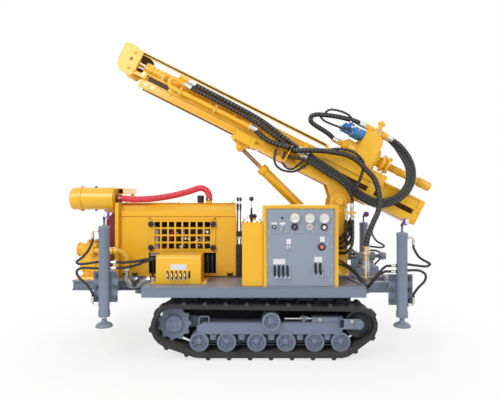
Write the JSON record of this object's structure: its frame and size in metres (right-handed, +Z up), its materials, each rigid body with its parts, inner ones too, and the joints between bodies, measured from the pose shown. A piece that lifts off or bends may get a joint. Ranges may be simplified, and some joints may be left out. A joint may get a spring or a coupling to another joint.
{
  "type": "tracked water well drilling rig",
  "caption": "Small crawler drilling rig for water wells, with a tilting mast, sliding rotary head, engine housing, control panel and hydraulic jacks.",
  "frame": {"origin": "on the ground under the middle of the machine's length and width", "axes": "+X along the tracks towards the mast's foot, +Y away from the control side, +Z up"},
  "size_m": [4.2446, 1.7748, 3.5442],
  "materials": {
    "black_rubber": "matt black rubber",
    "brass": "bare brass",
    "dark_metal": "dark oily metal",
    "dark_red": "satin dark red paint",
    "grey_blue": "satin grey-blue paint",
    "motor_blue": "gloss blue paint",
    "plate_grey": "satin grey paint",
    "red_hose": "semi-gloss red rubber",
    "steel": "bright plated steel",
    "yellow": "gloss yellow paint"
  },
  "bodies": {
    "machine": {"track_near": "black_rubber", "track_far": "black_rubber", "track_frame_near": "grey_blue", "track_frame_far": "grey_blue", "sprocket_near": "grey_blue", "sprocket_far": "grey_blue", "idler_near": "grey_blue", "idler_far": "grey_blue", "chassis": "grey_blue", "deck_frame": "grey_blue", "front_subframe": "grey_blue", "rear_frame_near": "grey_blue", "rear_frame_far": "grey_blue", "breakout_barrel": "grey_blue", "jack_tube_front_near": "grey_blue", "jack_tube_front_far": "grey_blue", "jack_tube_rear_near": "grey_blue", "jack_tube_rear_far": "grey_blue", "engine_housing": "yellow", "grille_panel": "yellow", "mast_rest": "yellow", "air_cleaner": "yellow", "pump": "yellow", "jack_control_box": "yellow", "side_tank": "yellow", "panel_box": "yellow", "oil_tank": "yellow", "turret": "yellow", "engine_block": "dark_metal", "travel_levers": "dark_metal", "radiator_cowl": "dark_red", "intake_hose": "red_hose", "panel_plate": "plate_grey", "air_valve": "brass"},
    "cradle": {"cradle": "yellow", "hose_air_deck": "black_rubber", "hose_bundle": "black_rubber"},
    "mast": {"mast_beam": "yellow", "crown": "yellow", "feed_cylinder": "yellow", "slide_cylinder": "dark_metal", "feed_chain": "dark_metal", "mast_pipe": "yellow", "hose_mast_a": "black_rubber", "hose_mast_b": "black_rubber", "hose_loop_a": "black_rubber", "hose_loop_b": "black_rubber", "hose_air_mast": "black_rubber"},
    "lift_barrel": {"lift_barrel": "yellow"},
    "lift_rod": {"lift_rod": "steel"},
    "head": {"carriage": "yellow", "head_gearbox": "yellow", "head_motors": "motor_blue", "hose_head": "black_rubber"},
    "spindle": {"drill_spindle": "yellow"},
    "breakout_rod": {"breakout_rod": "grey_blue"},
    "jack_front_near": {"jack_foot_front_near": "grey_blue"},
    "jack_front_far": {"jack_foot_front_far": "grey_blue"},
    "jack_rear_near": {"jack_foot_rear_near": "grey_blue"},
    "jack_rear_far": {"jack_foot_rear_far": "grey_blue"}
  },
  "joints": [
    {"name": "mast_tilt", "type": "hinge", "parent": "machine", "child": "cradle", "pos_m": [0.97367, 0, 1.636], "axis": [0, 1, 0], "range_deg": [-26.7, 63.3], "deforming": ["hose_air_deck", "hose_bundle"]},
    {"name": "mast_slide", "type": "slide", "parent": "cradle", "child": "mast", "axis": [0.8934, 0, -0.4493], "range_m": [0, 0.45], "deforming": ["hose_air_mast"]},
    {"name": "head_feed", "type": "slide", "parent": "mast", "child": "head", "axis": [-0.8934, 0, 0.4493], "range_m": [-0.22, 2.1], "deforming": ["feed_chain", "hose_loop_a", "hose_loop_b"]},
    {"name": "spindle_spin", "type": "hinge", "parent": "head", "child": "spindle", "pos_m": [1.26797, 0, 2.22116], "axis": [-0.8934, 0, 0.4493], "continuous": true},
    {"name": "lift_barrel_swing", "type": "hinge", "parent": "machine", "child": "lift_barrel", "pos_m": [0.79767, 0, 1.32], "axis": [0, 1, 0], "range_deg": [-24, 56]},
    {"name": "lift_rod_slide", "type": "slide", "parent": "lift_barrel", "child": "lift_rod", "axis": [-0.7116, 0, 0.7026], "range_m": [-0.14, 0.33]},
    {"name": "breakout_slide", "type": "slide", "parent": "machine", "child": "breakout_rod", "axis": [1, 0, 0], "range_m": [0, 0.22]},
    {"name": "jack_slide_front_near", "type": "slide", "parent": "machine", "child": "jack_front_near", "axis": [0, 0, -1], "range_m": [0, 0.45]},
    {"name": "jack_slide_front_far", "type": "slide", "parent": "machine", "child": "jack_front_far", "axis": [0, 0, -1], "range_m": [0, 0.45]},
    {"name": "jack_slide_rear_near", "type": "slide", "parent": "machine", "child": "jack_rear_near", "axis": [0, 0, -1], "range_m": [0, 0.45]},
    {"name": "jack_slide_rear_far", "type": "slide", "parent": "machine", "child": "jack_rear_far", "axis": [0, 0, -1], "range_m": [0, 0.45]}
  ],
  "couplings": [
    {"joint": "lift_barrel_swing", "follows": "mast_tilt", "ratio": 0.87},
    {"joint": "lift_rod_slide", "follows": "mast_tilt", "m_per_rad": 0.2875}
  ]
}
